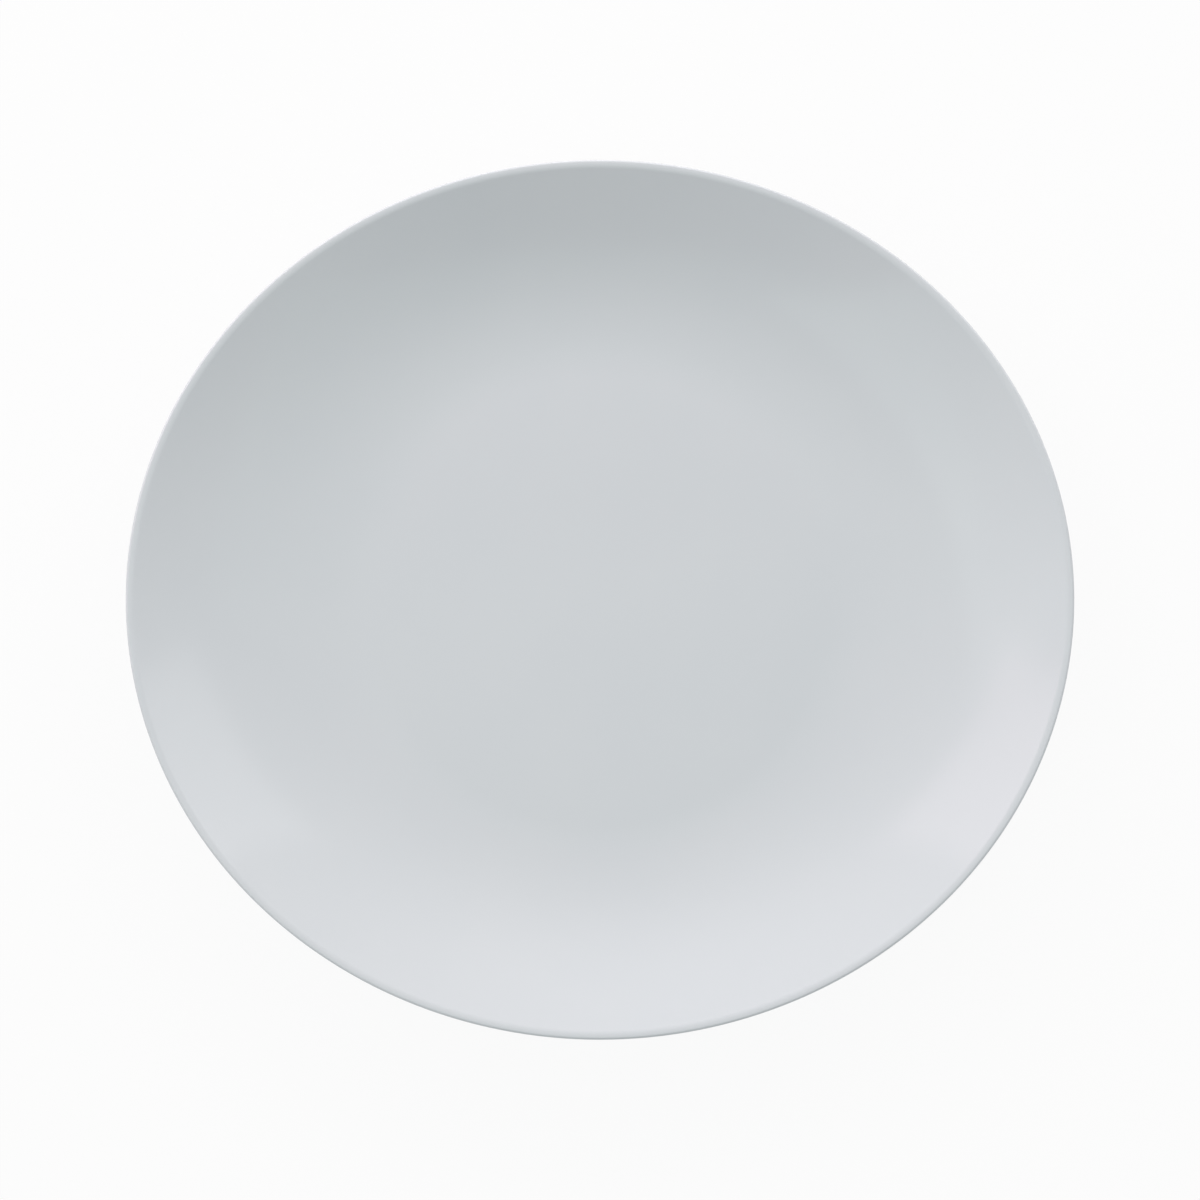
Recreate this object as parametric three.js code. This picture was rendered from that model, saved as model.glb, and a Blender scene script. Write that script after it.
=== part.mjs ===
// Oval coupe plate in white glazed porcelain: a round flat well, one smooth rising wall and an oval lip.
// The fired body is a single pressed piece with its foot ring. Three coats of glaze are fused to it: over
// the eating face, over the back, and inside the foot ring. The foot ring stands on a ground, bare edge.
// Units are millimetres and +Z is up. The origin is the middle of the plate, on the table it stands on.
import * as THREE from "three";
import { mergeGeometries, mergeVertices } from "three/addons/utils/BufferGeometryUtils.js";

// Sizes of the finished plate, glaze included
const PLATE_LENGTH = 280;
const PLATE_WIDTH = 260;
const PLATE_HEIGHT = 27.5;
const BASE_THICKNESS = 5;
const WALL_THICKNESS = 4.8;
const GLAZE_THICKNESS = 0.3;

// Lip: a small round on its upper edge, a wide one that rolls from its highest point in to the wall, and
// one that leads from its outermost point in under it
const LIP_ROUND = 0.75;
const LIP_ROLL = 4;
const LIP_UNDER_ROUND = 1.75;

// Well: the radius of its flat, and the curve that leads out of it until the wall takes over at this slope
const WELL_RADIUS = 68;
const WELL_CURVE = 92;
const WALL_SLOPE = THREE.MathUtils.degToRad(7);

// Foot ring: its radius is to the middle of the bearing face, its lift is from the table to the underside
const FOOT_RADIUS = 74;
const FOOT_LIFT = 3;
const FOOT_FACE_WIDTH = 1.8;
const FOOT_EDGE_ROUND = 1;
const FOOT_FILLET = 2.2;
const FOOT_DRAFT = THREE.MathUtils.degToRad(12);
const FOOT_BARE_FLANK = 0.4;

// Facets: how many go round the plate, and how far one may stand off the arc that it follows
const FACETS_AROUND = 72;
const FACET_SAG = 0.06;

const UP = Math.PI / 2;
const DOWN = 1.5 * Math.PI;
const FULL_TURN = 2 * Math.PI;

// Section of the plate along its length, with x outwards from the axis and y up from the table.
// Every coat is an offset of the body, so the arcs of both share their centres, and inset is the depth
// under the finished surface: 0 on the glaze, and the glaze's thickness on the body.

const lipCentre = new THREE.Vector2(PLATE_LENGTH / 2 - LIP_ROUND, PLATE_HEIGHT - LIP_ROUND);
const rollCentre = new THREE.Vector2(lipCentre.x, PLATE_HEIGHT - LIP_ROLL);
const underCentre = new THREE.Vector2(PLATE_LENGTH / 2 - LIP_UNDER_ROUND, lipCentre.y);
const undersideHeight = FOOT_LIFT;
const wellHeight = undersideHeight + BASE_THICKNESS;

// The angle of the line from one point to another.
function bearing(from, to) {
  return to.clone().sub(from).angle();
}

// The curve out of the well, and the place and direction in which the wall starts at its end.
const wellCentre = new THREE.Vector2(WELL_RADIUS, wellHeight + WELL_CURVE);
const wallStart = DOWN + WALL_SLOPE;
const wallNormal = new THREE.Vector2(-Math.sin(WALL_SLOPE), Math.cos(WALL_SLOPE));
const wallFace = wellCentre.clone().addScaledVector(wallNormal, -WELL_CURVE);
const wallBack = wallFace.clone().addScaledVector(wallNormal, -WALL_THICKNESS);

// The circle that leaves the start of the wall and touches a round of the lip: with the round outside it,
// side 1, for the face of the wall, and inside it, side -1, for the back.
function wallCircle(start, roundCentre, round, side) {
  const toRound = roundCentre.clone().sub(start);
  const radius = (toRound.lengthSq() - round ** 2) / (2 * (toRound.dot(wallNormal) + side * round));
  return { centre: start.clone().addScaledVector(wallNormal, radius), radius };
}

const faceCircle = wallCircle(wallFace, rollCentre, LIP_ROLL, 1);
const backCircle = wallCircle(wallBack, underCentre, LIP_UNDER_ROUND, -1);
const faceEnd = bearing(faceCircle.centre, rollCentre);
const backEnd = bearing(backCircle.centre, underCentre);

// The fillets at the root of the foot leave its flanks room for the bare band and the edge of the glaze.
const flankFoot = FOOT_EDGE_ROUND * (1 - Math.sin(FOOT_DRAFT));
const glazedFlankStart = flankFoot + (FOOT_BARE_FLANK + GLAZE_THICKNESS) * Math.cos(FOOT_DRAFT);
const bodyUnderside = undersideHeight + GLAZE_THICKNESS;
const filletRoom = (bodyUnderside - glazedFlankStart) / (1 - Math.sin(FOOT_DRAFT));
const footFillet = Math.min(FOOT_FILLET, filletRoom);

// One flank of the foot ring's body, on the outside, side 1, or the inside, side -1: the centre of its
// shoulder, the way out of the material, the way up, and the place where the bare band ends.
function footFlank(side) {
  const shoulder = new THREE.Vector2(FOOT_RADIUS + (side * FOOT_FACE_WIDTH) / 2, FOOT_EDGE_ROUND);
  const outward = new THREE.Vector2(side * Math.cos(FOOT_DRAFT), -Math.sin(FOOT_DRAFT));
  const upward = new THREE.Vector2(side * Math.sin(FOOT_DRAFT), Math.cos(FOOT_DRAFT));
  const start = shoulder.clone().addScaledVector(outward, FOOT_EDGE_ROUND);
  const bareEnd = start.clone().addScaledVector(upward, FOOT_BARE_FLANK);
  return { shoulder, outward, upward, start, bareEnd };
}

const outerFlank = footFlank(1);
const innerFlank = footFlank(-1);

// The centre of the outer fillet, which touches the flank and the back of the wall.
function outerFilletCentre() {
  const { start, outward, upward } = outerFlank;
  const lowest = start.clone().addScaledVector(outward, footFillet);
  const offset = lowest.clone().sub(backCircle.centre);
  const along = offset.dot(upward);
  const reach = backCircle.radius - GLAZE_THICKNESS + footFillet;
  const climb = -along - Math.sqrt(along ** 2 - offset.lengthSq() + reach ** 2);
  return lowest.addScaledVector(upward, climb);
}

// The centre of the inner fillet, which touches the flank and the level underside.
function innerFilletCentre() {
  const { start, outward, upward } = innerFlank;
  const lowest = start.clone().addScaledVector(outward, footFillet);
  const climb = (bodyUnderside - footFillet - lowest.y) / upward.y;
  return lowest.addScaledVector(upward, climb);
}

const outerFillet = outerFilletCentre();
const innerFillet = innerFilletCentre();
const backStart = bearing(backCircle.centre, outerFillet);

// Points along an arc, both ends included, clockwise where the angle falls.
function arc(centre, radius, from, to) {
  const step = 2 * Math.acos(1 - FACET_SAG / radius);
  const facets = Math.ceil(Math.abs(to - from) / step);
  const curve = new THREE.ArcCurve(centre.x, centre.y, radius, from, to, to < from);
  return curve.getPoints(facets);
}

// The outermost point of the lip, where the coats of the face and the back meet.
function lipEdge(inset) {
  return new THREE.Vector2(lipCentre.x + LIP_ROUND - inset, lipCentre.y);
}

// The edge of the glaze on one flank of the foot ring.
function glazeEdge(flank, inset) {
  return flank.bareEnd.clone().addScaledVector(flank.outward, GLAZE_THICKNESS - inset);
}

// From the middle of the underside to the edge of the glaze on the inner flank.
function baseSection(inset) {
  const flankBearing = innerFlank.outward.clone().negate().angle();
  const filletRadius = footFillet - GLAZE_THICKNESS + inset;
  return [
    new THREE.Vector2(0, undersideHeight + inset),
    ...arc(innerFillet, filletRadius, UP, flankBearing),
    glazeEdge(innerFlank, inset),
  ];
}

// From the inner flank, under the bearing edge, to the outer flank: bare body between the two coats.
function footSection() {
  return [
    ...arc(innerFlank.shoulder, FOOT_EDGE_ROUND, innerFlank.outward.angle(), DOWN),
    ...arc(outerFlank.shoulder, FOOT_EDGE_ROUND, DOWN, outerFlank.outward.angle()),
  ];
}

// From the edge of the glaze on the outer flank, up the back of the wall, to the edge of the lip.
function backSection(inset) {
  const flankBearing = outerFlank.outward.clone().negate().angle();
  const filletRadius = footFillet - GLAZE_THICKNESS + inset;
  return [
    glazeEdge(outerFlank, inset),
    ...arc(outerFillet, filletRadius, flankBearing, bearing(outerFillet, backCircle.centre)),
    ...arc(backCircle.centre, backCircle.radius - inset, backStart, backEnd).slice(1),
    ...arc(underCentre, LIP_UNDER_ROUND - inset, backEnd, FULL_TURN).slice(1, -1),
    lipEdge(inset),
  ];
}

// From the edge of the lip, over its top and down the face of the wall, to the middle of the well.
function faceSection(inset) {
  return [
    lipEdge(inset),
    ...arc(lipCentre, LIP_ROUND - inset, 0, UP).slice(1),
    ...arc(rollCentre, LIP_ROLL - inset, UP, faceEnd - Math.PI).slice(1),
    ...arc(faceCircle.centre, faceCircle.radius + inset, faceEnd, wallStart).slice(1),
    ...arc(wellCentre, WELL_CURVE + inset, wallStart, DOWN).slice(1),
    new THREE.Vector2(0, wellHeight - inset),
  ];
}

// The well and the foot are round. From the foot outwards the rings draw in along Y, by half of what the
// width is under the length, so that the lip is oval and as thick at its sides as at its ends.
const roundRadius = backCircle.centre.x + backCircle.radius * Math.cos(backStart);
const drawIn = (PLATE_LENGTH - PLATE_WIDTH) / 2;

function ringHalfWidth(radius) {
  return radius - drawIn * THREE.MathUtils.smoothstep(radius, roundRadius, lipCentre.x);
}

// A section line turned about the axis into a surface of the plate.
function turned(section) {
  const surface = new THREE.LatheGeometry(section, FACETS_AROUND);
  surface.deleteAttribute("normal");
  surface.deleteAttribute("uv");
  const position = surface.getAttribute("position");
  const point = new THREE.Vector3();
  for (let i = 0; i < position.count; i += 1) {
    point.fromBufferAttribute(position, i);
    const radius = Math.hypot(point.x, point.z);
    const squeeze = radius > 0 ? ringHalfWidth(radius) / radius : 1;
    position.setXYZ(i, point.x, -point.z * squeeze, point.y);
  }
  return surface;
}

// The same surface seen from its other side.
function turnedOver(surface) {
  const other = surface.clone();
  other.index.array.reverse();
  return other;
}

// One closed piece from the surfaces round it.
function closed(...surfaces) {
  const geometry = mergeVertices(mergeGeometries(surfaces));
  geometry.computeVertexNormals();
  return geometry;
}

// A coat of glaze: its finished side with its edges, and the side that it shares with the body.
function coat(section) {
  const shared = section(GLAZE_THICKNESS);
  const finished = [shared.at(0), ...section(0), shared.at(-1)];
  return closed(turned(finished), turnedOver(turned(shared)));
}

// The fired body, from the middle of its underside round the lip to the middle of its face.
function body() {
  return closed(
    turned([
      ...baseSection(GLAZE_THICKNESS),
      ...footSection(),
      ...backSection(GLAZE_THICKNESS),
      ...faceSection(GLAZE_THICKNESS).slice(1),
    ]),
  );
}

function barePorcelain() {
  return new THREE.MeshStandardMaterial({ color: 0xe9e4da, roughness: 0.85, metalness: 0 });
}

function whiteGlaze() {
  return new THREE.MeshStandardMaterial({ color: 0xdfe2e5, roughness: 0.15, metalness: 0 });
}

function piece(name, geometry, material) {
  const mesh = new THREE.Mesh(geometry, material);
  mesh.name = name;
  return mesh;
}

const plate = new THREE.Group();
plate.add(
  piece("porcelain_body", body(), barePorcelain()),
  piece("face_glaze", coat(faceSection), whiteGlaze()),
  piece("back_glaze", coat(backSection), whiteGlaze()),
  piece("base_glaze", coat(baseSection), whiteGlaze()),
);

export default plate;
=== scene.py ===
"""Looks of an oval coupe plate in white glazed porcelain.

The plate is one section, turned about its axis and drawn in to an oval. The fired body and its three
coats of glaze are pieces of their own that share their surfaces, each where the frame has that part.
Sizes are in millimetres and angles in radians until a point goes into a mesh, which is in metres.
"""
import logging
import math
from dataclasses import dataclass, field
from enum import Enum

import bmesh
import bpy
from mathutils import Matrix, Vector


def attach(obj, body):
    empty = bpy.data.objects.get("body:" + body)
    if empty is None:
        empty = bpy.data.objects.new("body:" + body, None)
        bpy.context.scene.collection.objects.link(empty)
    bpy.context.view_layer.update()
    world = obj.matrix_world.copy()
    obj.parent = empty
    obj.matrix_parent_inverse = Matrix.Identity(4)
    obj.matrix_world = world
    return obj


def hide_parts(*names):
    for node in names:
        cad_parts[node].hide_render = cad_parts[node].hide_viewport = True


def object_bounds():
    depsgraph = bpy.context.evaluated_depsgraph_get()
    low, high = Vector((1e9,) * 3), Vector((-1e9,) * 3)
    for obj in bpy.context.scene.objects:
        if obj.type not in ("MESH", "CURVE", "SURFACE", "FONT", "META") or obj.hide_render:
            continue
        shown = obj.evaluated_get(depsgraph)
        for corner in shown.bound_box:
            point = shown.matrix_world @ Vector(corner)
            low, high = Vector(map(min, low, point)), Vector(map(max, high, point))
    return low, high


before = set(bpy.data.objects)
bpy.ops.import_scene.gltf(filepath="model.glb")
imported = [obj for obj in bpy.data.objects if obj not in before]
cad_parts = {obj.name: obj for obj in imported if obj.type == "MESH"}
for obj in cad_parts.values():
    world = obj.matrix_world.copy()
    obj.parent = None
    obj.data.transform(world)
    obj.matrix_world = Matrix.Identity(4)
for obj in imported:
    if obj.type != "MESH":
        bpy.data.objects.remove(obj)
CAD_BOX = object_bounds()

LOG = logging.getLogger("oval_plate")

MM = 0.001
UP = math.pi / 2
HALF_TURN = math.pi
DOWN = 1.5 * math.pi
FULL_TURN = 2 * math.pi

# Fineness of the meshes: facets round the plate, how far a facet may stand off its arc in millimetres,
# and the share of a facet that the first and last facet of an arc have, so that shading meets the
# neighbouring stretch at the true angle. Points closer than TOUCH, in metres, are one point.
FACETS_AROUND = 240
FACET_SAG = 0.002
END_FACET_SHARE = 0.05
SHARP_EDGE = math.radians(40)
TOUCH = 1e-7
# Shares of the well's radius at which the flats have rings of their own, which keep their facets short.
INNER_RING = 1 / 6
OUTER_RING = 1 / 2


class Part(Enum):
    """Parts of the plate, by the name of their node in the frame."""

    BODY = "porcelain_body"
    FACE_COAT = "face_glaze"
    BACK_COAT = "back_glaze"
    BASE_COAT = "base_glaze"


class Slot(Enum):
    """Material slots of the plate's record."""

    BARE = "bare_porcelain"
    GLAZE = "white_glaze"


class Body(Enum):
    """Bodies of the frame that pieces ride on."""

    PLATE = "root"


def bearing(start: Vector, end: Vector) -> float:
    """Finds the direction from one point of the section to another.

    Args:
        start: The point to look from.
        end: The point to look to.

    Returns:
        The angle from 0 to a full turn, counter-clockwise from the x axis.
    """
    way = end - start
    return math.atan2(way.y, way.x) % FULL_TURN


def smoothstep(value: float, low: float, high: float) -> float:
    """Eases from 0 at the low value to 1 at the high one.

    Args:
        value: The value to ease.
        low: The value up to which the result is 0.
        high: The value from which the result is 1.

    Returns:
        The eased share, from 0 to 1.
    """
    share = min(max((value - low) / (high - low), 0.0), 1.0)
    return share * share * (3.0 - 2.0 * share)


@dataclass(frozen=True)
class Arc:
    """A stretch of a circle in the section, clockwise where its end angle is the smaller one."""

    centre: Vector
    radius: float
    start: float
    end: float

    def first_point(self) -> Vector:
        """Gives the point where the arc starts."""
        return self.centre + self.radius * Vector((math.cos(self.start), math.sin(self.start)))

    def turned_back(self) -> "Arc":
        """Gives the same arc from its end to its start."""
        return Arc(self.centre, self.radius, self.end, self.start)


Line = list[Vector | Arc]


def turned_back(line: Line) -> Line:
    """Reverses a line of the section.

    Args:
        line: Points and arcs in drawing order.

    Returns:
        The same line from its end to its start.
    """
    return [stroke.turned_back() if isinstance(stroke, Arc) else stroke for stroke in reversed(line)]


@dataclass(frozen=True)
class PlateSizes:
    """Sizes of the finished plate, glaze included. The frame gives the first three."""

    length: float
    width: float
    height: float
    base_thickness: float = 5.0
    wall_thickness: float = 4.8
    lip_round: float = 0.75
    lip_roll: float = 4.0
    lip_under_round: float = 1.75
    glaze_thickness: float = 0.3
    well_radius: float = 68.0
    well_curve: float = 92.0
    wall_slope: float = math.radians(7)
    foot_radius: float = 74.0
    foot_lift: float = 3.0
    foot_face_width: float = 1.8
    foot_edge_round: float = 1.0
    foot_fillet: float = 2.2
    foot_draft: float = math.radians(12)
    foot_bare_flank: float = 0.4

    @classmethod
    def from_box(cls, box: tuple[Vector, Vector]) -> "PlateSizes":
        """Takes the plate's length, width and height from the frame.

        Args:
            box: The lowest and highest corner of the plate, in metres.

        Returns:
            The sizes of the plate in that box.
        """
        lowest, highest = box
        return cls(*((highest - lowest) / MM))


@dataclass(frozen=True)
class Flank:
    """One flank of the foot ring's body, on its outer side, 1, or its inner side, -1."""

    shoulder: Vector
    outward: Vector
    upward: Vector
    start: Vector
    bare_end: Vector

    @classmethod
    def on_side(cls, sizes: PlateSizes, side: int) -> "Flank":
        """Places a flank from the foot ring's sizes.

        Args:
            sizes: The plate's sizes.
            side: 1 for the outer flank and -1 for the inner one.

        Returns:
            The flank with the centre of its shoulder, the ways out of the material and up, and the
            places where its straight part starts and its bare band ends.
        """
        shoulder = Vector((sizes.foot_radius + side * sizes.foot_face_width / 2, sizes.foot_edge_round))
        outward = Vector((side * math.cos(sizes.foot_draft), -math.sin(sizes.foot_draft)))
        upward = Vector((side * math.sin(sizes.foot_draft), math.cos(sizes.foot_draft)))
        start = shoulder + outward * sizes.foot_edge_round
        return cls(shoulder, outward, upward, start, start + upward * sizes.foot_bare_flank)

    def outward_bearing(self) -> float:
        """Gives the angle of the way out of the material."""
        return bearing(Vector((0, 0)), self.outward)

    def inward_bearing(self) -> float:
        """Gives the angle of the way into the material."""
        return bearing(self.outward, Vector((0, 0)))


@dataclass
class PlateSection:
    """The plate's section along its length: x outwards from the axis, and y up from the table.

    Every coat is an offset of the body, so the arcs of both share their centres. An inset is the depth
    under the finished surface: 0 on the glaze, and the glaze's thickness on the body.
    """

    sizes: PlateSizes

    def __post_init__(self) -> None:
        """Works out the centres and angles at which the section's arcs meet."""
        sizes = self.sizes
        self.lip_centre = Vector((sizes.length / 2 - sizes.lip_round, sizes.height - sizes.lip_round))
        self.roll_centre = Vector((self.lip_centre.x, sizes.height - sizes.lip_roll))
        self.under_centre = Vector((sizes.length / 2 - sizes.lip_under_round, self.lip_centre.y))
        self.well_height = sizes.foot_lift + sizes.base_thickness
        self.well_centre = Vector((sizes.well_radius, self.well_height + sizes.well_curve))
        self.wall_start = DOWN + sizes.wall_slope
        self.wall_normal = Vector((-math.sin(sizes.wall_slope), math.cos(sizes.wall_slope)))
        wall_face = self.well_centre - self.wall_normal * sizes.well_curve
        wall_back = wall_face - self.wall_normal * sizes.wall_thickness
        self.face_centre, self.face_radius = self.wall_circle(wall_face, self.roll_centre, sizes.lip_roll, 1)
        self.back_centre, self.back_radius = self.wall_circle(
            wall_back, self.under_centre, sizes.lip_under_round, -1
        )
        self.face_end = bearing(self.face_centre, self.roll_centre)
        self.back_end = bearing(self.back_centre, self.under_centre)
        self.outer_flank = Flank.on_side(sizes, 1)
        self.inner_flank = Flank.on_side(sizes, -1)
        self.body_underside = sizes.foot_lift + sizes.glaze_thickness
        self.foot_fillet = self.fillet_radius()
        self.outer_fillet = self.outer_fillet_centre()
        self.inner_fillet = self.inner_fillet_centre()
        self.back_start = bearing(self.back_centre, self.outer_fillet)
        self.round_radius = self.back_centre.x + self.back_radius * math.cos(self.back_start)

    def wall_circle(
        self, start: Vector, round_centre: Vector, round_radius: float, side: int
    ) -> tuple[Vector, float]:
        """Finds the circle that leaves the start of the wall and touches a round of the lip.

        Args:
            start: The point where the wall starts.
            round_centre: The centre of the lip's round.
            round_radius: The radius of the lip's round.
            side: 1 where the round is outside the circle, on the face, and -1 where it is inside it.

        Returns:
            The circle's centre and radius.
        """
        to_round = round_centre - start
        reach = to_round.length_squared - round_radius**2
        radius = reach / (2 * (to_round.dot(self.wall_normal) + side * round_radius))
        return start + self.wall_normal * radius, radius

    def fillet_radius(self) -> float:
        """Gives the fillets of the foot the room that the bare band and the glaze's edge leave."""
        sizes = self.sizes
        slant = 1 - math.sin(sizes.foot_draft)
        covered = (sizes.foot_bare_flank + sizes.glaze_thickness) * math.cos(sizes.foot_draft)
        room = (self.body_underside - sizes.foot_edge_round * slant - covered) / slant
        return min(sizes.foot_fillet, room)

    def outer_fillet_centre(self) -> Vector:
        """Places the fillet that touches the outer flank and the back of the wall."""
        flank = self.outer_flank
        lowest = flank.start + flank.outward * self.foot_fillet
        offset = lowest - self.back_centre
        along = offset.dot(flank.upward)
        reach = self.back_radius - self.sizes.glaze_thickness + self.foot_fillet
        climb = -along - math.sqrt(along**2 - offset.length_squared + reach**2)
        return lowest + flank.upward * climb

    def inner_fillet_centre(self) -> Vector:
        """Places the fillet that touches the inner flank and the level underside."""
        flank = self.inner_flank
        lowest = flank.start + flank.outward * self.foot_fillet
        climb = (self.body_underside - self.foot_fillet - lowest.y) / flank.upward.y
        return lowest + flank.upward * climb

    def glaze_edge(self, flank: Flank, inset: float) -> Vector:
        """Gives the point at an inset where the glaze ends on a flank."""
        return flank.bare_end + flank.outward * (self.sizes.glaze_thickness - inset)

    def rolled_edge(self, flank: Flank, side: int) -> Arc:
        """Rounds the edge of the glaze on a flank, as the melted glaze draws together there.

        Args:
            flank: The flank that the glaze ends on.
            side: 1 on the outer flank, and -1 on the inner one.

        Returns:
            A half circle from the finished surface, under the edge, to the body.
        """
        half = self.sizes.glaze_thickness / 2
        start = flank.outward_bearing()
        return Arc(flank.bare_end + flank.outward * half, half, start, start - side * HALF_TURN)

    def face(self, inset: float) -> Line:
        """Draws from the middle of the well, up the wall and over the lip, to its outermost edge.

        Args:
            inset: The depth under the finished surface.

        Returns:
            The line, with two points on the well's flat that keep its facets short.
        """
        sizes = self.sizes
        well_level = self.well_height - inset
        return [
            Vector((0, well_level)),
            Vector((sizes.well_radius * INNER_RING, well_level)),
            Vector((sizes.well_radius * OUTER_RING, well_level)),
            Arc(self.well_centre, sizes.well_curve + inset, DOWN, self.wall_start),
            Arc(self.face_centre, self.face_radius + inset, self.wall_start, self.face_end),
            Arc(self.roll_centre, sizes.lip_roll - inset, self.face_end - HALF_TURN, UP),
            Arc(self.lip_centre, sizes.lip_round - inset, UP, 0),
        ]

    def back(self, inset: float) -> Line:
        """Draws from the outermost edge of the lip, down the back, to the glaze's edge on the foot.

        Args:
            inset: The depth under the finished surface.

        Returns:
            The line.
        """
        fillet = self.foot_fillet - self.sizes.glaze_thickness + inset
        fillet_start = bearing(self.outer_fillet, self.back_centre)
        return [
            Arc(self.under_centre, self.sizes.lip_under_round - inset, FULL_TURN, self.back_end),
            Arc(self.back_centre, self.back_radius - inset, self.back_end, self.back_start),
            Arc(self.outer_fillet, fillet, fillet_start, self.outer_flank.inward_bearing()),
            self.glaze_edge(self.outer_flank, inset),
        ]

    def foot(self) -> Line:
        """Draws the bare bearing edge, from the outer flank under the foot to the inner one."""
        edge_round = self.sizes.foot_edge_round
        return [
            Arc(self.outer_flank.shoulder, edge_round, self.outer_flank.outward_bearing(), DOWN),
            Arc(self.inner_flank.shoulder, edge_round, DOWN, self.inner_flank.outward_bearing()),
        ]

    def base(self, inset: float) -> Line:
        """Draws from the glaze's edge on the inner flank to the middle of the underside.

        Args:
            inset: The depth under the finished surface.

        Returns:
            The line, with two points on the underside that keep its facets short.
        """
        fillet = self.foot_fillet - self.sizes.glaze_thickness + inset
        level = self.sizes.foot_lift + inset
        return [
            self.glaze_edge(self.inner_flank, inset),
            Arc(self.inner_fillet, fillet, self.inner_flank.inward_bearing(), UP),
            Vector((self.sizes.well_radius * OUTER_RING, level)),
            Vector((self.sizes.well_radius * INNER_RING, level)),
            Vector((0, level)),
        ]

    def half_width(self, radius: float) -> float:
        """Gives how far a ring of this radius reaches along the plate's width.

        The well and the foot are round. From the foot outwards the rings draw in by half of what the
        width is under the length, so the lip is as thick at the plate's sides as at its ends.

        Args:
            radius: The ring's reach along the plate's length.

        Returns:
            The ring's reach along the plate's width.
        """
        draw_in = (self.sizes.length - self.sizes.width) / 2
        return radius - draw_in * smoothstep(radius, self.round_radius, self.lip_centre.x)


class SectionPen:
    """Draws a line of the section into a mesh and turns it into a ring of the plate."""

    def __init__(self) -> None:
        """Starts with an empty mesh and the pen off the paper."""
        self.mesh = bmesh.new()
        self.tip: bmesh.types.BMVert | None = None

    def draw(self, line: Line) -> None:
        """Draws each point and arc of a line in order.

        Args:
            line: The points and arcs.
        """
        for stroke in line:
            if isinstance(stroke, Arc):
                self.line_to(stroke.first_point())
                self.sweep(stroke)
            else:
                self.line_to(stroke)

    def line_to(self, point: Vector) -> None:
        """Draws a straight stretch, or puts the pen down if it is up.

        Args:
            point: The point of the section to draw to.
        """
        place = Vector((point.x, 0, point.y)) * MM
        if self.tip is None:
            self.tip = self.mesh.verts.new(place)
        elif (place - self.tip.co).length > TOUCH:
            self.tip = bmesh.ops.extrude_vert_indiv(self.mesh, verts=[self.tip])["verts"][0]
            self.tip.co = place

    def sweep(self, arc: Arc) -> None:
        """Sweeps the pen along an arc, with a short facet at each of its ends.

        Args:
            arc: The arc, which starts where the pen is.
        """
        whole = arc.end - arc.start
        largest = 2 * math.acos(1 - FACET_SAG / arc.radius)
        steps = math.ceil(abs(whole) / largest)
        short = END_FACET_SHARE * whole / steps
        for angle, count in ((short, 1), (whole - 2 * short, steps), (short, 1)):
            swept = bmesh.ops.spin(
                self.mesh,
                geom=[self.tip],
                cent=Vector((arc.centre.x, 0, arc.centre.y)) * MM,
                axis=(0, -1, 0),
                angle=angle,
                steps=count,
            )
            self.tip = next(part for part in swept["geom_last"] if isinstance(part, bmesh.types.BMVert))

    def turned(self, name: str, section: PlateSection) -> bpy.types.Object:
        """Turns the drawn line about the plate's axis, draws it in to the oval and closes it.

        Args:
            name: The name of the piece.
            section: The section that says how far each ring draws in.

        Returns:
            The piece, linked to the scene at the origin.
        """
        bmesh.ops.spin(
            self.mesh,
            geom=[*self.mesh.verts, *self.mesh.edges],
            cent=(0, 0, 0),
            axis=(0, 0, 1),
            angle=FULL_TURN,
            steps=FACETS_AROUND,
            use_merge=True,
        )
        bmesh.ops.remove_doubles(self.mesh, verts=self.mesh.verts, dist=TOUCH)
        for vert in self.mesh.verts:
            radius = vert.co.xy.length / MM
            if radius > section.round_radius:
                vert.co.y *= section.half_width(radius) / radius
        bmesh.ops.recalc_face_normals(self.mesh, faces=self.mesh.faces)
        data = bpy.data.meshes.new(name)
        self.mesh.to_mesh(data)
        self.mesh.free()
        data.shade_smooth()
        data.set_sharp_from_angle(angle=SHARP_EDGE)
        piece = bpy.data.objects.new(name, data)
        bpy.context.scene.collection.objects.link(piece)
        return piece


def linear(colour: str) -> tuple[float, float, float, float]:
    """Turns an sRGB hex colour into the linear values that shaders take.

    Args:
        colour: The colour as "#RRGGBB".

    Returns:
        Red, green and blue from 0 to 1, and an alpha of 1.
    """
    shares = [int(colour[start : start + 2], 16) / 255 for start in (1, 3, 5)]
    red, green, blue = (s / 12.92 if s <= 0.04045 else ((s + 0.055) / 1.055) ** 2.4 for s in shares)
    return red, green, blue, 1.0


def per_metre(size: float) -> float:
    """Gives the texture scale at which a pattern's marks have a size in millimetres."""
    return 1 / (size * MM)


def add_node(
    tree: bpy.types.NodeTree,
    kind: str,
    inputs: dict[str | int, object] | None = None,
    **settings: object,
) -> bpy.types.Node:
    """Adds a node with its settings and links.

    Args:
        tree: The node tree to add to.
        kind: The node's type name.
        inputs: Values for the node's inputs, by name or number. An output socket is linked.
        **settings: Properties of the node.

    Returns:
        The new node.
    """
    node = tree.nodes.new(kind)
    for name, value in settings.items():
        setattr(node, name, value)
    for name, value in (inputs or {}).items():
        if isinstance(value, bpy.types.NodeSocket):
            tree.links.new(value, node.inputs[name])
        else:
            node.inputs[name].default_value = value
    return node


def empty_tree(owner: bpy.types.Material | bpy.types.World) -> bpy.types.NodeTree:
    """Switches a material or world to nodes and clears them.

    Args:
        owner: The material or world.

    Returns:
        Its empty node tree.
    """
    owner.use_nodes = True
    owner.node_tree.nodes.clear()
    return owner.node_tree


# Sockets of a colour Mix node, whose names are shared with its other kinds.
MIX_A = 6
MIX_B = 7
MIX_RESULT = 2
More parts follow.
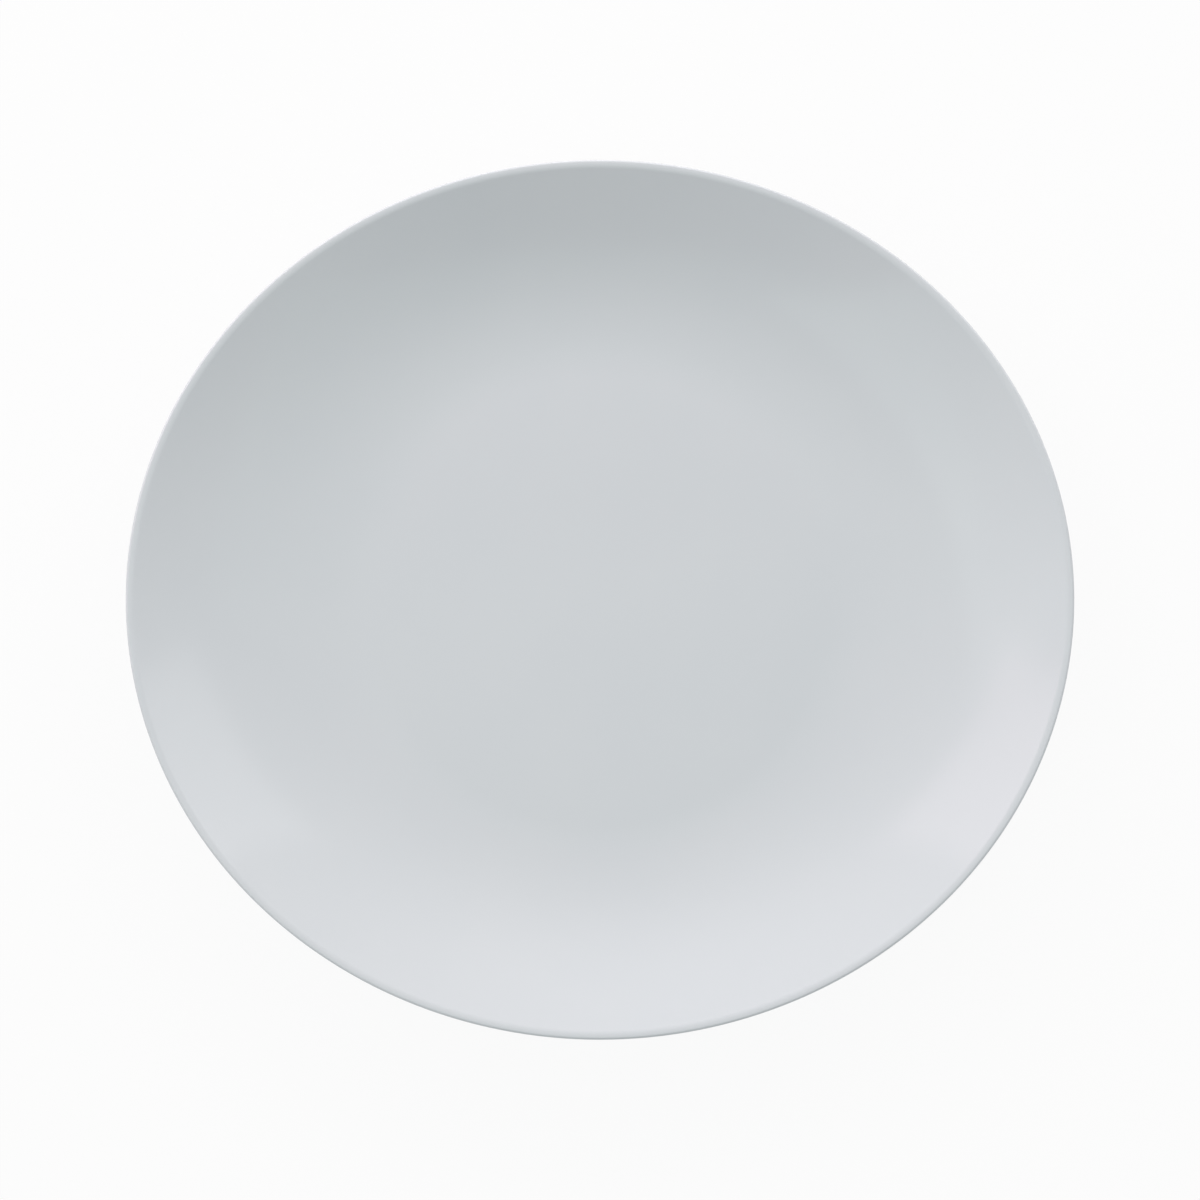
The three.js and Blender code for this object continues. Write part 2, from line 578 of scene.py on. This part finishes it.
# A ring wave at a scale of 1 runs through this many radians in a unit of length.
RING_WAVE_RADIANS = 20


@dataclass(frozen=True)
class GlossGlaze:
    """Clear gloss glaze over white porcelain, dipped and fired to a glassy coat.

    The eye gets a cool, even white under soft mirror reflections. The melted surface is never quite
    flat, so reflections waver a little, and where the glaze pools at the root of the foot it is bluer.
    """

    name: str = "porcelain_clear_gloss_glaze"
    white: str = "#DFE3E6"
    thick_white: str = "#DADFE3"
    pooled_white: str = "#CAD4DA"
    ior: float = 1.52
    glossiest: float = 0.11
    dullest: float = 0.15
    drift_size: float = 45.0
    drift_low: float = 0.3
    drift_high: float = 0.7
    ripple_size: float = 16.0
    ripple_height: float = 0.006
    peel_size: float = 2.4
    peel_height: float = 0.0008
    pool_reach: float = 2.6

    def material(self, section: PlateSection) -> bpy.types.Material:
        """Makes the glaze's material.

        Args:
            section: The plate's section, which says where the glaze pools.

        Returns:
            The material.
        """
        material = bpy.data.materials.new(self.name)
        tree = empty_tree(material)
        place = add_node(tree, "ShaderNodeTexCoord").outputs["Object"]
        # The coat is a little thicker here and there, which shows as a slow drift of tone and gloss.
        drift = add_node(
            tree,
            "ShaderNodeTexNoise",
            {"Vector": place, "Scale": per_metre(self.drift_size), "Detail": 3.0},
        ).outputs["Fac"]
        tone = add_node(
            tree,
            "ShaderNodeMix",
            {"Factor": drift, MIX_A: linear(self.white), MIX_B: linear(self.thick_white)},
            data_type="RGBA",
        ).outputs[MIX_RESULT]
        pooled = add_node(
            tree,
            "ShaderNodeMix",
            {"Factor": self.pool_share(tree, place, section), MIX_A: tone, MIX_B: linear(self.pooled_white)},
            data_type="RGBA",
        ).outputs[MIX_RESULT]
        roughness = add_node(
            tree,
            "ShaderNodeMapRange",
            {
                "Value": drift,
                "From Min": self.drift_low,
                "From Max": self.drift_high,
                "To Min": self.glossiest,
                "To Max": self.dullest,
            },
        ).outputs["Result"]
        # The melt leaves long low ripples and a fine orange peel.
        ripples = add_node(
            tree,
            "ShaderNodeTexNoise",
            {"Vector": place, "Scale": per_metre(self.ripple_size), "Detail": 1.0},
        ).outputs["Fac"]
        rippled = add_node(
            tree, "ShaderNodeBump", {"Height": ripples, "Distance": self.ripple_height * MM}
        ).outputs["Normal"]
        peel = add_node(
            tree,
            "ShaderNodeTexNoise",
            {"Vector": place, "Scale": per_metre(self.peel_size), "Detail": 1.0},
        ).outputs["Fac"]
        peeled = add_node(
            tree,
            "ShaderNodeBump",
            {"Height": peel, "Distance": self.peel_height * MM, "Normal": rippled},
        ).outputs["Normal"]
        shader = add_node(
            tree,
            "ShaderNodeBsdfPrincipled",
            {"Base Color": pooled, "Roughness": roughness, "IOR": self.ior, "Normal": peeled},
        ).outputs["BSDF"]
        add_node(tree, "ShaderNodeOutputMaterial", {"Surface": shader})
        return material

    def pool_share(
        self, tree: bpy.types.NodeTree, place: bpy.types.NodeSocket, section: PlateSection
    ) -> bpy.types.NodeSocket:
        """Adds the nodes that say how much glaze has pooled in the two fillets beside the foot.

        Args:
            tree: The glaze's node tree.
            place: The Object coordinates.
            section: The plate's section, with the centres of the fillets.

        Returns:
            A share that is 1 in the fillets and falls to 0 a little way off.
        """
        flat = add_node(tree, "ShaderNodeVectorMath", {0: place, 1: (1.0, 1.0, 0.0)}, operation="MULTIPLY")
        radius = add_node(tree, "ShaderNodeVectorMath", {0: flat.outputs["Vector"]}, operation="LENGTH")
        height = add_node(tree, "ShaderNodeSeparateXYZ", {"Vector": place}).outputs["Z"]
        in_section = add_node(tree, "ShaderNodeCombineXYZ", {"X": radius.outputs["Value"], "Y": height})
        distances = [
            add_node(
                tree,
                "ShaderNodeVectorMath",
                {0: in_section.outputs["Vector"], 1: (*(centre * MM), 0.0)},
                operation="DISTANCE",
            ).outputs["Value"]
            for centre in (section.outer_fillet, section.inner_fillet)
        ]
        nearest = add_node(tree, "ShaderNodeMath", dict(enumerate(distances)), operation="MINIMUM")
        return add_node(
            tree,
            "ShaderNodeMapRange",
            {
                "Value": nearest.outputs["Value"],
                "From Min": section.foot_fillet * MM,
                "From Max": (section.foot_fillet + self.pool_reach) * MM,
                "To Min": 1.0,
                "To Max": 0.0,
            },
            interpolation_type="SMOOTHSTEP",
        ).outputs["Result"]


@dataclass(frozen=True)
class GroundBiscuit:
    """Bare fired porcelain, wiped free of glaze and ground smooth where the plate stands.

    The eye gets a dry, warm off-white with a fine grit, faint rings from the grinding wheel, and grey
    rub marks on the bearing edge. The grit and the rings are drawn coarser than they are, to show.
    """

    name: str = "porcelain_biscuit_ground"
    white: str = "#E8E2D7"
    grit_shade: str = "#D8D1C4"
    rub_grey: str = "#B5B1A9"
    ior: float = 1.5
    smoothest: float = 0.55
    driest: float = 0.85
    grit_size: float = 0.3
    grit_height: float = 0.03
    ring_spacing: float = 0.35
    ring_height: float = 0.01
    ring_waver: float = 1.5
    rub_size: float = 9.0
    rub_depth: float = 0.25
    rub_start: float = 0.45
    rub_full: float = 0.7
    rub_strength: float = 0.8

    def material(self) -> bpy.types.Material:
        """Makes the bare porcelain's material.

        Returns:
            The material.
        """
        material = bpy.data.materials.new(self.name)
        tree = empty_tree(material)
        place = add_node(tree, "ShaderNodeTexCoord").outputs["Object"]
        grit = add_node(
            tree,
            "ShaderNodeTexNoise",
            {"Vector": place, "Scale": per_metre(self.grit_size), "Detail": 2.0},
        ).outputs["Fac"]
        dry = add_node(
            tree,
            "ShaderNodeMix",
            {"Factor": grit, MIX_A: linear(self.white), MIX_B: linear(self.grit_shade)},
            data_type="RGBA",
        ).outputs[MIX_RESULT]
        rub = self.rub_share(tree, place)
        colour = add_node(
            tree,
            "ShaderNodeMix",
            {"Factor": rub, MIX_A: dry, MIX_B: linear(self.rub_grey)},
            data_type="RGBA",
        ).outputs[MIX_RESULT]
        roughness = add_node(
            tree,
            "ShaderNodeMapRange",
            {"Value": rub, "To Min": self.driest, "To Max": self.smoothest},
        ).outputs["Result"]
        rings = add_node(
            tree,
            "ShaderNodeTexWave",
            {
                "Vector": place,
                "Scale": per_metre(self.ring_spacing) * FULL_TURN / RING_WAVE_RADIANS,
                "Distortion": self.ring_waver,
                "Detail": 2.0,
            },
            wave_type="RINGS",
            rings_direction="Z",
        ).outputs["Fac"]
        ground = add_node(
            tree, "ShaderNodeBump", {"Height": rings, "Distance": self.ring_height * MM}
        ).outputs["Normal"]
        gritty = add_node(
            tree,
            "ShaderNodeBump",
            {"Height": grit, "Distance": self.grit_height * MM, "Normal": ground},
        ).outputs["Normal"]
        shader = add_node(
            tree,
            "ShaderNodeBsdfPrincipled",
            {"Base Color": colour, "Roughness": roughness, "IOR": self.ior, "Normal": gritty},
        ).outputs["BSDF"]
        add_node(tree, "ShaderNodeOutputMaterial", {"Surface": shader})
        return material

    def rub_share(self, tree: bpy.types.NodeTree, place: bpy.types.NodeSocket) -> bpy.types.NodeSocket:
        """Adds the nodes that say where the bearing edge is rubbed grey.

        Args:
            tree: The bare porcelain's node tree.
            place: The Object coordinates.

        Returns:
            A share that is 0 above the bearing edge and patchy along it.
        """
        patches = add_node(
            tree,
            "ShaderNodeTexNoise",
            {"Vector": place, "Scale": per_metre(self.rub_size), "Detail": 4.0},
        ).outputs["Fac"]
        rubbed = add_node(
            tree,
            "ShaderNodeMapRange",
            {
                "Value": patches,
                "From Min": self.rub_start,
                "From Max": self.rub_full,
                "To Max": self.rub_strength,
            },
        ).outputs["Result"]
        height = add_node(tree, "ShaderNodeSeparateXYZ", {"Vector": place}).outputs["Z"]
        low = add_node(
            tree,
            "ShaderNodeMapRange",
            {"Value": height, "From Min": 0.0, "From Max": self.rub_depth * MM, "To Min": 1.0, "To Max": 0.0},
        ).outputs["Result"]
        return add_node(tree, "ShaderNodeMath", {0: rubbed, 1: low}, operation="MULTIPLY").outputs["Value"]


def settle(piece: bpy.types.Object, part: Part, material: bpy.types.Material) -> None:
    """Puts a piece in the place of its part and gives it its finish.

    Args:
        piece: The finished piece.
        part: The part of the frame that the piece stands for.
        material: The finish.
    """
    piece.data.materials.append(material)
    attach(piece, Body.PLATE.value)
    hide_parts(part.value)
    LOG.info("%s stands for %s with %d faces", piece.name, part.value, len(piece.data.polygons))


@dataclass
class FiredBody:
    """The pressed and fired body: base, wall, lip and foot ring in one piece."""

    section: PlateSection
    finish: GroundBiscuit = field(default_factory=GroundBiscuit)
    name: str = "fired_body"

    def build(self) -> bpy.types.Object:
        """Turns the body from the middle of its face, round the lip and the foot, to its underside.

        Returns:
            The body's piece.
        """
        depth = self.section.sizes.glaze_thickness
        pen = SectionPen()
        pen.draw(self.section.face(depth))
        pen.draw(self.section.back(depth))
        pen.draw(self.section.foot())
        pen.draw(self.section.base(depth))
        return pen.turned(self.name, self.section)

    def dress(self, piece: bpy.types.Object) -> None:
        """Finishes the body in bare porcelain, which shows on the foot's edge."""
        settle(piece, Part.BODY, self.finish.material())


@dataclass
class GlazeCoats:
    """The coats of glaze on the face, on the back and inside the foot ring."""

    section: PlateSection
    finish: GlossGlaze = field(default_factory=GlossGlaze)
    names: dict[Part, str] = field(
        default_factory=lambda: {
            Part.FACE_COAT: "glaze_over_face",
            Part.BACK_COAT: "glaze_over_back",
            Part.BASE_COAT: "glaze_inside_foot",
        }
    )

    def outline(self, part: Part) -> Line:
        """Draws round a coat, along its finished side and back along the side on the body.

        Args:
            part: The coat.

        Returns:
            A line that closes on itself, or that starts and ends on the plate's axis.
        """
        section = self.section
        depth = section.sizes.glaze_thickness
        if part is Part.FACE_COAT:
            return [*section.face(0), *turned_back(section.face(depth))]
        if part is Part.BACK_COAT:
            finished = section.back(0)
            edge = section.rolled_edge(section.outer_flank, 1)
            return [*finished, edge, *turned_back(section.back(depth)), finished[0].first_point()]
        edge = section.rolled_edge(section.inner_flank, -1)
        return [*turned_back(section.base(0)), edge, *section.base(depth)]

    def build(self, part: Part) -> bpy.types.Object:
        """Turns one coat.

        Args:
            part: The coat.

        Returns:
            The coat's piece.
        """
        pen = SectionPen()
        pen.draw(self.outline(part))
        return pen.turned(self.names[part], self.section)

    def dress(self, pieces: dict[Part, bpy.types.Object]) -> None:
        """Finishes all coats in the same glaze.

        Args:
            pieces: The coats' pieces.
        """
        material = self.finish.material(self.section)
        for part, piece in pieces.items():
            settle(piece, part, material)


# Azimuth of the plate's near side, in degrees.
FRONT = -90.0


def on_dome(azimuth: float, elevation: float, distance: float) -> Vector:
    """Finds a place on a dome over the plate.

    Args:
        azimuth: Degrees counter-clockwise from the plate's +X end.
        elevation: Degrees above the table.
        distance: The distance from the middle of the plate.

    Returns:
        The place, in the unit of the distance.
    """
    turn, rise = math.radians(azimuth), math.radians(elevation)
    level = math.cos(rise)
    return distance * Vector((level * math.cos(turn), level * math.sin(turn), math.sin(rise)))


@dataclass(frozen=True)
class Softbox:
    """A soft rectangular light that faces the plate, in metres, watts and degrees.

    A polarised one lights the plate, but a filter on the camera keeps its glare out of the glaze.
    """

    name: str
    azimuth: float
    elevation: float
    width: float
    height: float
    power: float
    colour: str
    polarised: bool = False
    distance: float = 1.4

    def place(self) -> bpy.types.Object:
        """Adds the light to the scene.

        Returns:
            The light's object.
        """
        data = bpy.data.lights.new(self.name, "AREA")
        data.shape = "RECTANGLE"
        data.size = self.width
        data.size_y = self.height
        data.energy = self.power
        data.color = linear(self.colour)[:3]
        lamp = bpy.data.objects.new(self.name, data)
        lamp.location = on_dome(self.azimuth, self.elevation, self.distance)
        lamp.rotation_mode = "QUATERNION"
        lamp.rotation_quaternion = (-lamp.location).to_track_quat("-Z", "Y")
        lamp.visible_glossy = not self.polarised
        bpy.context.scene.collection.objects.link(lamp)
        return lamp


@dataclass(frozen=True)
class Viewpoint:
    """The camera: nearly straight above the plate and a little in front, in degrees and millimetres."""

    elevation: float = 87.44
    distance: float = 984.6
    lens: float = 100.0
    sensor: float = 36.0
    aim: tuple[float, float, float] = (0.0, -0.8, 26.0)

    def place(self) -> bpy.types.Object:
        """Adds the camera and makes it the scene's own.

        Returns:
            The camera's object.
        """
        data = bpy.data.cameras.new("camera_above")
        data.lens = self.lens
        data.sensor_width = self.sensor
        camera = bpy.data.objects.new("camera_above", data)
        back = on_dome(FRONT, self.elevation, self.distance * MM)
        camera.location = Vector(self.aim) * MM + back
        camera.rotation_mode = "QUATERNION"
        camera.rotation_quaternion = (-back).to_track_quat("-Z", "Y")
        bpy.context.scene.collection.objects.link(camera)
        bpy.context.scene.camera = camera
        return camera


@dataclass(frozen=True)
class Studio:
    """A white table and room with soft lights round the plate, in metres.

    The glow is the share of the table that is plain white where it is seen. The rest keeps the shadow.
    """

    table_white: str = "#F0F0F0"
    table_reach: float = 3.0
    table_facets: int = 96
    table_glow: float = 0.92
    room_white: str = "#FFFFFF"
    room_light: float = 0.407
    softboxes: tuple[Softbox, ...] = (
        Softbox("softbox_behind_right", 60.0, 27.0, 0.75, 0.5, 3.9, "#FFF8F8", polarised=True),
        Softbox("softbox_behind", 90.0, 27.0, 0.75, 0.5, 2.5, "#FFF8F8", polarised=True),
        Softbox("softbox_behind_left", 120.0, 27.0, 0.75, 0.5, 3.9, "#FFF8F8", polarised=True),
        Softbox("strip_behind", 90.0, 8.0, 2.4, 0.15, 3.4, "#FFF8F8"),
        Softbox("softbox_low_left", 165.0, 12.0, 1.2, 0.5, 2.8, "#FFF2F5"),
        Softbox("softbox_high_left", 150.0, 42.0, 0.5, 0.8, 1.7, "#FFE7F0"),
        Softbox("softbox_high_right", 30.0, 42.0, 0.5, 0.8, 1.05, "#FAFBFF"),
        Softbox("softbox_over_left", 200.0, 55.0, 1.0, 0.6, 1.15, "#F2FFFD"),
        Softbox("softbox_overhead", 270.0, 75.0, 1.6, 1.0, 1.1, "#CCFFF3"),
    )
    viewpoint: Viewpoint = Viewpoint()

    def build(self) -> None:
        """Sets the table, the room, the lights and the camera."""
        bpy.context.scene.view_settings.view_transform = "Standard"
        self.lay_table()
        self.paint_room()
        for softbox in self.softboxes:
            softbox.place()
            LOG.info("%s lights the plate", softbox.name)
        self.viewpoint.place()

    def lay_table(self) -> bpy.types.Object:
        """Lays a round white table under the plate.

        Returns:
            The table's object.
        """
        mesh = bmesh.new()
        bmesh.ops.create_circle(
            mesh, cap_ends=True, segments=self.table_facets, radius=self.table_reach
        )
        data = bpy.data.meshes.new("white_table")
        mesh.to_mesh(data)
        mesh.free()
        material = bpy.data.materials.new("table_matt_white")
        tree = empty_tree(material)
        lit = add_node(tree, "ShaderNodeBsdfDiffuse", {"Color": linear(self.table_white)}).outputs["BSDF"]
        glow = add_node(tree, "ShaderNodeEmission", {"Strength": 1.0}).outputs["Emission"]
        surface = self.seen_white(tree, lit, glow, self.table_glow)
        add_node(tree, "ShaderNodeOutputMaterial", {"Surface": surface})
        data.materials.append(material)
        table = bpy.data.objects.new("white_table", data)
        bpy.context.scene.collection.objects.link(table)
        return table

    def paint_room(self) -> None:
        """Lights the plate evenly from all round, and shows the room white."""
        world = bpy.data.worlds.new("white_room")
        tree = empty_tree(world)
        light = add_node(
            tree,
            "ShaderNodeBackground",
            {"Color": linear(self.room_white), "Strength": self.room_light},
        ).outputs["Background"]
        white = add_node(
            tree, "ShaderNodeBackground", {"Color": linear(self.room_white), "Strength": 1.0}
        ).outputs["Background"]
        add_node(tree, "ShaderNodeOutputWorld", {"Surface": self.seen_white(tree, light, white, 1.0)})
        bpy.context.scene.world = world

    @staticmethod
    def seen_white(
        tree: bpy.types.NodeTree,
        lit: bpy.types.NodeSocket,
        white: bpy.types.NodeSocket,
        share: float,
    ) -> bpy.types.NodeSocket:
        """Mixes white into a backdrop where it is seen, straight or in a reflection.

        Args:
            tree: The backdrop's node tree.
            lit: The shader as the lights find it.
            white: The white shader.
            share: How much of the seen backdrop is white.

        Returns:
            The mixed shader.
        """
        path = add_node(tree, "ShaderNodeLightPath").outputs
        straight = add_node(
            tree,
            "ShaderNodeMath",
            {0: path["Is Camera Ray"], 1: path["Is Transmission Ray"]},
            operation="MAXIMUM",
        ).outputs["Value"]
        seen = add_node(
            tree, "ShaderNodeMath", {0: straight, 1: path["Is Glossy Ray"]}, operation="MAXIMUM"
        ).outputs["Value"]
        partly = add_node(tree, "ShaderNodeMath", {0: seen, 1: share}, operation="MULTIPLY").outputs["Value"]
        return add_node(tree, "ShaderNodeMixShader", {0: partly, 1: lit, 2: white}).outputs["Shader"]


def main() -> None:
    """Builds the plate and its studio, and reports each piece."""
    logging.basicConfig(level=logging.INFO, format="%(message)s")
    section = PlateSection(PlateSizes.from_box(CAD_BOX))
    body = FiredBody(section)
    body.dress(body.build())
    coats = GlazeCoats(section)
    coats.dress({part: coats.build(part) for part in coats.names})
    Studio().build()


if __name__ == "__main__":
    main()
